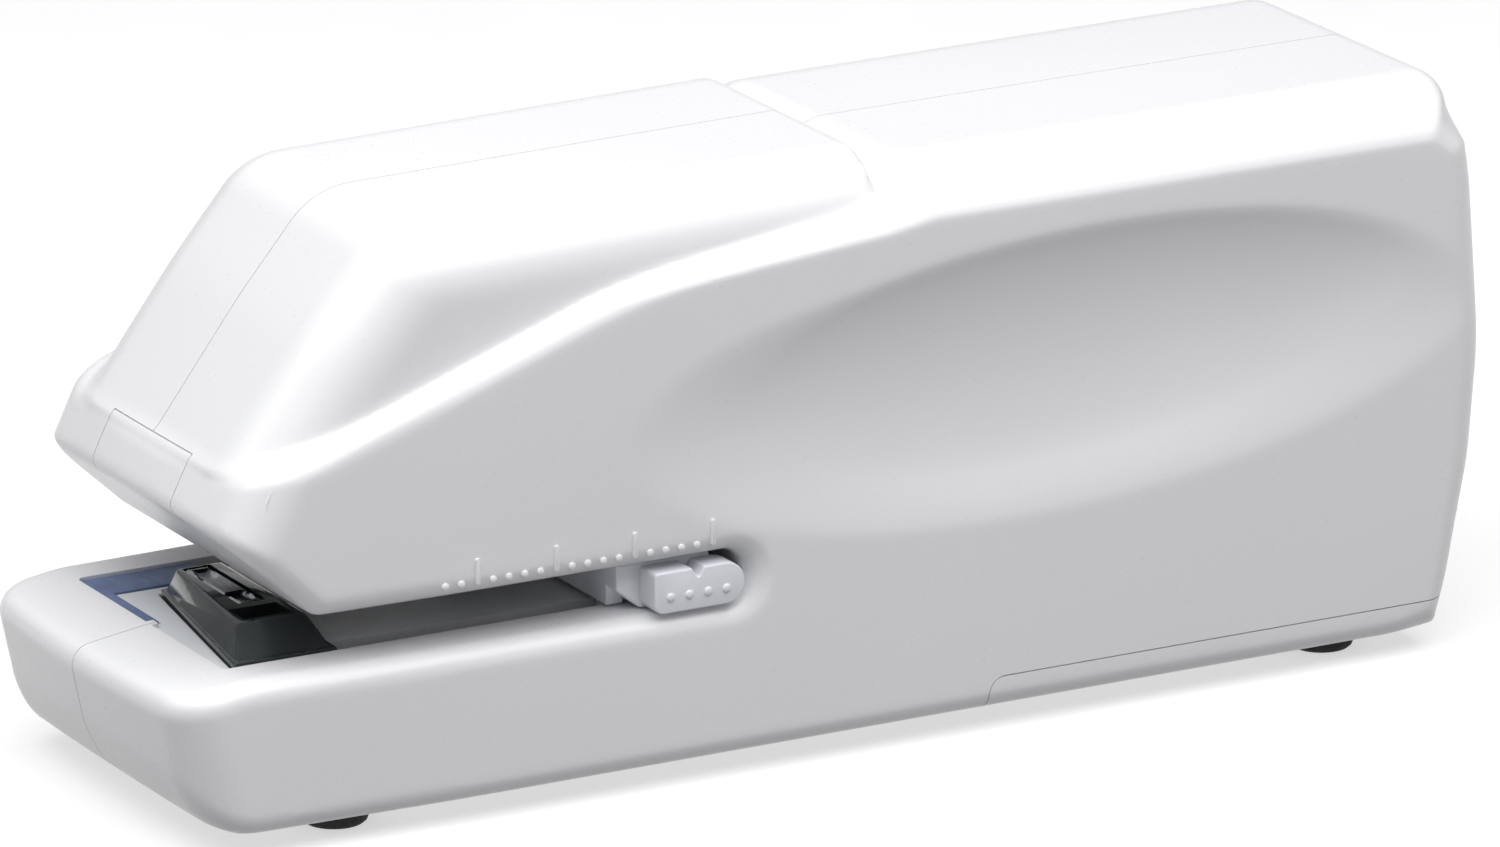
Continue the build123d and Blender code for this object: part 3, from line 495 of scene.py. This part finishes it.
def board_green():
    """Circuit board: green solder mask with paler tracks in straight lines."""
    material, tree, surface = shader("board_green")
    place = tree.nodes.new("ShaderNodeTexCoord")
    tracks = tree.nodes.new("ShaderNodeTexBrick")
    tracks.inputs["Scale"].default_value = 0.25 / MM
    tracks.inputs["Mortar Size"].default_value = 0.03
    tracks.inputs["Color1"].default_value = (0.010, 0.120, 0.045, 1)
    tracks.inputs["Color2"].default_value = (0.014, 0.150, 0.055, 1)
    tracks.inputs["Mortar"].default_value = (0.050, 0.260, 0.110, 1)
    tree.links.new(place.outputs["Object"], tracks.inputs["Vector"])
    tree.links.new(tracks.outputs["Color"], surface.inputs["Base Color"])
    fine = noise(tree, 4.0)
    tree.links.new(spread(tree, fine, 0.25, 0.4), surface.inputs["Roughness"])
    tree.links.new(bump(tree, tracks.outputs["Fac"], 0.03), surface.inputs["Normal"])
    return material


MATERIALS = {
    "white_plastic": grained("white_plastic", (0.790, 0.790, 0.805), (0.815, 0.815, 0.828), (0.27, 0.36),
                             2.2, 0.004, patch=0.02, Coat_Weight=0.12, Coat_Roughness=0.18),
    "light_plastic": grained("light_plastic", (0.62, 0.64, 0.66), (0.68, 0.70, 0.72), (0.35, 0.5),
                             2.5, 0.006),
    "guide_plastic": grained("guide_plastic", (0.735, 0.755, 0.800), (0.770, 0.785, 0.825), (0.30, 0.40),
                             2.5, 0.004, Coat_Weight=0.1),
    "blue_plastic": grained("blue_plastic", (0.090, 0.135, 0.270), (0.150, 0.205, 0.350), (0.3, 0.5),
                            1.2, 0.01, patch=0.15),
    "smoky_plastic": grained("smoky_plastic", (0.004, 0.009, 0.009), (0.022, 0.032, 0.031), (0.05, 0.14),
                             0.5, 0.02, patch=0.16, Coat_Weight=0.8, Coat_Roughness=0.04),
    "dark_plastic": grained("dark_plastic", (0.012, 0.013, 0.014), (0.024, 0.025, 0.027), (0.35, 0.55),
                            2.5, 0.01),
    "gear_plastic": grained("gear_plastic", (0.62, 0.60, 0.52), (0.70, 0.68, 0.60), (0.35, 0.5), 1.5, 0.008),
    "dark_rubber": grained("dark_rubber", (0.016, 0.016, 0.018), (0.035, 0.035, 0.037), (0.7, 0.95),
                           1.8, 0.04),
    "bright_steel": grained("bright_steel", (0.72, 0.73, 0.74), (0.60, 0.61, 0.63), (0.12, 0.30), 1.4, 0.006,
                            1.0, 0.3, (1, 0.12, 1)),
    "grey_steel": grained("grey_steel", (0.33, 0.34, 0.35), (0.42, 0.43, 0.44), (0.28, 0.46), 1.6, 0.006,
                          1.0, 0.08, (0.1, 1, 1)),
    "satin_zinc": grained("satin_zinc", (0.74, 0.75, 0.75), (0.82, 0.83, 0.83), (0.35, 0.5), 1.6, 0.006,
                          0.2, 0.08, (0.1, 1, 1)),
    "dark_steel": grained("dark_steel", (0.045, 0.047, 0.050), (0.075, 0.078, 0.082), (0.25, 0.45),
                          1.6, 0.006, 1.0, 0.08, (0.1, 1, 1)),
    "screw_steel": grained("screw_steel", (0.45, 0.46, 0.47), (0.36, 0.37, 0.38), (0.22, 0.42), 3.0, 0.005,
                           1.0, 0.5),
    "brass": grained("brass", (0.70, 0.50, 0.20), (0.60, 0.42, 0.17), (0.18, 0.35), 2.0, 0.005, 1.0, 0.3),
    "board_green": board_green(),
    "cell_jacket": wound_jacket(),
}


# ---------------------------------------------------------------- casing pieces
def block(x_min, x_max, y_min, y_max, z_min, z_max):
    return solid(lambda form: add_box(form, x_min, x_max, y_min, y_max, z_min, z_max))


def cover_region(gap, corner):
    """Space of the battery cover, whose front upper corner is rounded."""
    x, z = COVER_FRONT_X - gap, COVER_SEAM_Z - SEAM + gap
    outline = rounded_outline([(x, -2.0, 0), (100.0, -2.0, 0), (100.0, z, 0), (x, z, corner)])
    return solid(lambda form: add_prism(form, outline, "Y", -40.0, 40.0))


def opening_outline():
    """Plan of the table opening: rounded corners and a small notch at the front by the centre seam."""
    return rounded_outline([
        (-76.1, -18.8, 0.8), (-15.0, -18.8, 0.5), (-15.0, 18.8, 0.5), (-76.1, 18.8, 0.8),
        (-76.1, 0.9, 0.2), (-75.2, 0.9, 0.2), (-75.2, -0.5, 0.2), (-76.1, -0.5, 0.2),
    ], 4)


def add_scale(form, side):
    """Raised ruler: a tick every 10 mm and a dot every 2 mm."""
    face_y = side * HALF_WIDTH
    for step in range(SCALE_MARKS):
        x = SCALE_FRONT_X + SCALE_STEP * step
        if step % 5 == 2:
            tick = rounded_outline([(x - 0.3, 28.3, 0.28), (x + 0.3, 28.3, 0.28),
                                    (x + 0.3, 31.4, 0.28), (x - 0.3, 31.4, 0.28)], 4)
            add_prism(form, tick, "Y", *sorted((face_y - side * 0.5, face_y + side * 0.28)), 0.12, 2)
        else:
            dome = [(0, -0.8), (0.45, -0.8), (0.45, 0), (0.41, 0.12), (0.26, 0.23), (0, 0.28)]
            profile = [(radius, side * height) for radius, height in dome]
            add_lathe(form, profile, (x, face_y, 28.6), "Y", 16)


def cut_shell_openings(shell):
    """Cut the slots for the nose cap, magazine, table and paper lever, and the space of the battery cover."""
    cap = (-95, STAPLE_X, -CAP_SLOT_HALF_WIDTH, CAP_SLOT_HALF_WIDTH, ARM_SPLIT_Z + 1, NOSE_RIDGE_Z)
    mouth = (-75, -9, -MAGAZINE_MOUTH_HALF_WIDTH, MAGAZINE_MOUTH_HALF_WIDTH, 25, THROAT_TOP_Z + 2.6)
    combine(shell, "DIFFERENCE", block(*cap))
    combine(shell, "DIFFERENCE", block(*mouth))
    combine(shell, "DIFFERENCE", solid(lambda form: add_prism(form, opening_outline(), "Z", 17, 23)))
    combine(shell, "DIFFERENCE", block(*PAPER_LEVER_SLOT))
    combine(shell, "DIFFERENCE", cover_region(SEAM, 2.2))


def add_posts(shell):
    for x, z in SCREW_PLACES:
        ends = [(0, -POST_END_Y), (POST_RADIUS, -POST_END_Y), (POST_RADIUS, POST_END_Y), (0, POST_END_Y)]
        combine(shell, "UNION", solid(lambda form: add_lathe(form, ends, (x, 0, z), "Y", 32)))


def drill_screw_holes(shell):
    """Stepped holes for the screws, open on the left side."""
    for x, z in SCREW_PLACES:
        steps = [(0, -14), (1.1, -14), (1.1, 0), (1.3, 0), (1.3, 12), (2.15, 12), (2.15, 32), (0, 32)]
        combine(shell, "DIFFERENCE", solid(lambda form: add_lathe(form, steps, (x, 0, z), "Y", 32)))


def half_of(casing, name, side):
    shell = mesh_object(name, casing.data.copy())
    combine(shell, "INTERSECT", block(-100, 100, *sorted((side * SEAM / 2, side * 40)), -5, 90))
    combine(shell, "UNION", solid(lambda form: add_scale(form, side)))
    return piece(shell, "casing", "white_plastic", ["left_shell" if side > 0 else "right_shell"])


def build_casing():
    casing = mesh_object("casing_stock", casing_mesh())
    cap = mesh_object("nose_cap_moulding", casing.data.copy())
    front = (-95, TRAY_FRONT_X, -CAP_HALF_WIDTH, CAP_HALF_WIDTH, ARM_SPLIT_Z + 1, NOSE_RIDGE_Z - 0.15)
    combine(cap, "INTERSECT", block(*front))
    combine(cap, "UNION", block(-71.5, TRAY_FRONT_X, -6.5, 6.5, 31.0, 34.8))
    piece(cap, "magazine", "white_plastic", ["nose_cap"])
    cover = mesh_object("battery_cover_moulding", casing.data.copy())
    combine(cover, "INTERSECT", cover_region(0, 2.0))
    piece(cover, "battery_door", "white_plastic", ["battery_cover"])
    add_posts(casing)
    cut_shell_openings(casing)
    drill_screw_holes(casing)
    half_of(casing, "left_casing_moulding", 1)
    half_of(casing, "right_casing_moulding", -1)
    bpy.data.objects.remove(casing)


# ---------------------------------------------------------------- feet
def build_feet():
    """Two rubber feet at a time, with a rounded rim and a shallow ring in the sole."""
    profile = [(0, 3.2), (3.5, 3.2), (3.7, 2.5), (3.9, 2.2), (3.9, 0.7), (3.75, 0.3), (3.4, 0.0), (2.4, 0.0),
               (2.2, 0.25), (1.6, 0.25), (1.4, 0.0), (0, 0.0)]
    for name, body, x in (("front_feet", "casing", FRONT_FEET_X), ("rear_feet", "battery_door", REAR_FEET_X)):
        form = bmesh.new()
        for side in (-1, 1):
            add_lathe(form, profile, (x, side * FOOT_Y, 0.0))
        piece(bmesh_object(name + "_rubber", form), body, "dark_rubber", [name])


# ---------------------------------------------------------------- depth guide
def build_guide():
    """Fence with ribs behind it, arms with a chamfered foot, hooked legs and a grip knob at each side."""
    front, low, top = GUIDE_X, GUIDE_LOW_Z, GUIDE_TOP_Z
    fence = [(-20.0, low), (20.0, low), (20.0, top), (16.0, top), (16.0, 21.9), (12.0, 21.9),
             (12.0, top), (-20.0, top)]
    form = solid(lambda add: add_prism(add, fence, "X", front, front + 2.2, 0.2))
    guide = bmesh_object("depth_guide_moulding", form)
    rib = [(front + 1.8, low), (front + 5.0, low), (front + 5.0, 22.5), (front + 2.6, 25.4),
           (front + 1.8, 25.4)]
    for y in range(-9, 10, 6):
        combine(guide, "UNION", solid(lambda add: add_prism(add, rib, "Y", y - 0.6, y + 0.6, 0.12)))
    arm = rounded_outline([(front, top, 0.2), (front, 23.4, 0.6), (front + 3, low, 0.6),
                           (front + 12, low, 0.4), (front + 12, top, 0.4)], 4)
    for side in (-1, 1):
        near, far = sorted((side * 19.0, side * GUIDE_ARM_END_Y))
        combine(guide, "UNION", solid(lambda add: add_prism(add, arm, "Y", near, far, 0.25)))
        blocks = [
            (front + 1, front + 9, *sorted((side * 15.6, side * 18.4)), 16.6, 22.9),
            (front + 1, front + 9, *sorted((side * 15.6, side * 21.5)), 16.2, 18.2),
            (front + 3.6, front + 9, *sorted((side * 15.7, side * 22.3)), 21.0, 23.0),
        ]
        for limits in blocks:
            combine(guide, "UNION", solid(lambda add: add_box(add, *limits, 0.15)))
    piece(guide, "guide", "guide_plastic", ["depth_guide"])
    for name, side in (("left_guide_knob", 1), ("right_guide_knob", -1)):
        build_knob(name, side)


def build_knob(name, side):
    """Grip knob: rounded outline with a pointer notch in its top edge and four domed bumps."""
    outline = rounded_outline([
        (-25.4, 25.9, 0.4), (-25.4, 21.0, 1.2), (-13.8, 21.0, 2.4), (-13.8, 25.9, 2.4),
        (-19.0, 25.9, 0.2), (-19.8, 24.5, 0.3), (-20.6, 25.9, 0.2),
    ], 6)
    form = bmesh.new()
    add_prism(form, outline, "Y", *sorted((side * GUIDE_ARM_END_Y, side * HALF_WIDTH)), 0.35, 3)
    dome = [(0, -0.4), (0.55, -0.4), (0.55, 0.02), (0.48, 0.16), (0.3, 0.26), (0, 0.3)]
    for step in range(4):
        profile = [(radius, side * height) for radius, height in dome]
        add_lathe(form, profile, (-23.4 + 2.4 * step, side * HALF_WIDTH, 22.9), "Y", 20)
    piece(bmesh_object(name + "_moulding", form), "guide", "guide_plastic", [name])


# ---------------------------------------------------------------- table in the base
def build_table_frame():
    """Dark frame: a low plinth with a raised, bevelled surround for the anvil and a pocket beside it."""
    foot = [(-74.6, -18.4), (-61.6, -18.4), (-61.6, 10.2), (-69.7, 10.2)]
    skirt = [(-74.3, -18.1), (-61.9, -18.1), (-61.9, 9.9), (-69.5, 9.9)]
    top = [(-71.9, -13.8), (-63.2, -13.8), (-63.2, 7.6), (-68.9, 7.6)]
    plinth = solid(lambda add: add_prism(add, foot, "Z", TABLE_SHELF_Z, 20.9, 0.25))
    surround = bmesh_object("table_frame_moulding", plinth)
    rise = bmesh.new()
    rings = [[rise.verts.new((x, y, z)) for x, y in ring] for ring, z in ((skirt, 20.4), (top, 23.9))]
    rise.faces.new(rings[0][::-1])
    rise.faces.new(rings[1])
    for index in range(4):
        rise.faces.new((rings[0][index - 1], rings[0][index], rings[1][index], rings[1][index - 1]))
    bmesh.ops.recalc_face_normals(rise, faces=rise.faces)
    soften(rise, 0.45, 3, 20)
    combine(surround, "UNION", rise)
    combine(surround, "DIFFERENCE", block(-68.5, -64.9, -7.3, 7.3, 17, 25))
    bowl = [(-12.8, 25.0), (-12.8, 22.4), (-12.2, 21.1), (-11.2, 20.5), (-10.2, 20.6), (-9.2, 21.4),
            (-8.6, 25.0)]
    combine(surround, "DIFFERENCE", solid(lambda cut: add_prism(cut, bowl, "X", -70.5, -64.5)))
    piece(surround, "casing", "smoky_plastic", ["table_frame"], 25)


def build_anvil():
    """Bright steel strip with one curved clinching groove on each side of its middle."""
    form = bmesh.new()
    steps_x, steps_y = 12, 112
    x_low, x_high, half, floor_z, top_z = -68.2, -65.2, 7.0, TABLE_SHELF_Z, 23.8
    depth = 0.62
    grid = []
    for i in range(steps_x + 1):
        x = x_low + (x_high - x_low) * i / steps_x
        across = (x - (x_low + x_high) / 2) / (x_high - x_low) * 2
        row = []
        for j in range(steps_y + 1):
            y = -half + 2 * half * j / steps_y
            along = (abs(y) - 4.6) / 1.9
            groove = max(0.0, 1 - along * along) ** 0.5 * max(0.0, 1 - (across * 1.25 - 0.3 * along) ** 4)
            rim = max(0.0, abs(across) - 0.86) * 1.6 + max(0.0, abs(y) - 6.8) * 0.8
            row.append(form.verts.new((x, y, top_z - depth * groove - rim)))
        grid.append(row)
    for i in range(steps_x):
        for j in range(steps_y):
            form.faces.new((grid[i][j], grid[i + 1][j], grid[i + 1][j + 1], grid[i][j + 1]))
    border = [row[0] for row in grid] + grid[-1][1:] + [row[-1] for row in grid[-2::-1]] + grid[0][-2:0:-1]
    lower = [form.verts.new((vert.co.x, vert.co.y, floor_z)) for vert in border]
    for index in range(len(border)):
        form.faces.new((border[index - 1], border[index], lower[index], lower[index - 1]))
    form.faces.new(lower)
    piece(bmesh_object("anvil_strip", form), "casing", "bright_steel", ["anvil"], 40)


def build_table_trim():
    """Blue strip round two sides of the opening and the pale plate between it and the frame."""
    strip = [(-75.9, 1.0), (-74.4, 1.0), (-74.4, 12.7), (-61.6, 12.7), (-61.6, 18.6), (-75.9, 18.6)]
    form = solid(lambda add: add_prism(add, strip, "Z", TABLE_SHELF_Z, 20.4, 0.15))
    piece(bmesh_object("blue_table_strip", form), "casing", "blue_plastic", ["blue_strip"])
    plate = [(-75.9, -18.6), (-74.9, -18.6), (-69.9, 10.4), (-61.8, 10.4), (-61.8, 12.5), (-74.2, 12.5),
             (-74.2, 0.8), (-75.9, 0.8)]
    form = solid(lambda add: add_prism(add, plate, "Z", TABLE_SHELF_Z, 20.2, 0.12))
    piece(bmesh_object("pale_table_plate", form), "casing", "light_plastic", ["front_plate"])


# ---------------------------------------------------------------- CAD nodes that keep their shape
ROUNDED_NODES = {"table_plate", "magazine_tray", "magazine_rail", "staple_stick", "pusher", "paper_lever",
                 "driver_holder", "left_chassis_plate", "right_chassis_plate", "drive_lever", "battery_tray",
                 "motor_end_cap", "casing_screws"}


def finish_cad_nodes():
    """Give every CAD node its material, and the plain folded ones a fine edge."""
    for row in frame["record"]["subparts"]:
        node = NODES[row["node"]]
        node.data.materials.clear()
        node.data.materials.append(MATERIALS[row["material_slot"]])
        if row["node"] in ROUNDED_NODES:
            edge = node.modifiers.new("edge", "BEVEL")
            edge.width = 0.12 * MM
            edge.segments = 2
            edge.limit_method = "ANGLE"
            edge.angle_limit = math.radians(40)


# ---------------------------------------------------------------- floor, light and camera
def build_floor():
    half = FLOOR_HALF_WIDTH
    form = solid(lambda add: add_prism(add, rectangle(-half, half, -half, half), "Z", -FLOOR_THICKNESS, 0))
    floor = bmesh_object("floor", form)
    paper = grained("lit_paper", (0.50, 0.50, 0.50), (0.52, 0.52, 0.52), (0.7, 0.8), 1.0, 0.002,
                    Specular_IOR_Level=0.1, Emission_Color=(1, 1, 1, 1), Emission_Strength=0.55)
    floor.data.materials.append(paper)
    floor.visible_diffuse = False  # the casing gets no light back from the floor


def add_area_light(name, place_m, aim_m, size_m, power):
    data = bpy.data.lights.new(name, "AREA")
    data.shape = "RECTANGLE"
    data.size, data.size_y = size_m
    data.energy = power
    made = bpy.data.objects.new(name, data)
    made.location = place_m
    made.rotation_euler = (Vector(aim_m) - Vector(place_m)).to_track_quat("-Z", "Y").to_euler()
    bpy.context.scene.collection.objects.link(made)


def build_light():
    world = bpy.data.worlds.new("studio")
    world.use_nodes = True
    background = world.node_tree.nodes["Background"]
    background.inputs["Color"].default_value = (0.98, 0.985, 1.0, 1)
    background.inputs["Strength"].default_value = 0.29
    bpy.context.scene.world = world
    add_area_light("overhead", place_m=(-0.05, -0.20, 0.55), aim_m=(0, 0, 0.03),
                   size_m=(0.9, 0.6), power=4.8)
    add_area_light("front_top", place_m=(-0.42, 0.05, 0.55), aim_m=(-0.06, 0, 0.04),
                   size_m=(0.35, 0.5), power=1.1)
    bpy.context.scene.view_settings.view_transform = "Standard"


def build_camera():
    """Long lens from the right front, a little above the object."""
    azimuth, elevation = math.radians(-28.95), math.radians(17.21)
    back = Vector((math.sin(azimuth) * math.cos(elevation), -math.cos(azimuth) * math.cos(elevation),
                   math.sin(elevation)))
    data = bpy.data.cameras.new("camera")
    data.lens = 280
    data.sensor_width = 36
    camera = bpy.data.objects.new("camera", data)
    camera.location = (-0.6221, -1.1270, 0.4316)
    camera.rotation_euler = (-back).to_track_quat("-Z", "Y").to_euler()
    bpy.context.scene.collection.objects.link(camera)
    bpy.context.scene.camera = camera


build_casing()
build_feet()
build_guide()
build_table_frame()
build_anvil()
build_table_trim()
finish_cad_nodes()
build_floor()
build_light()
build_camera()
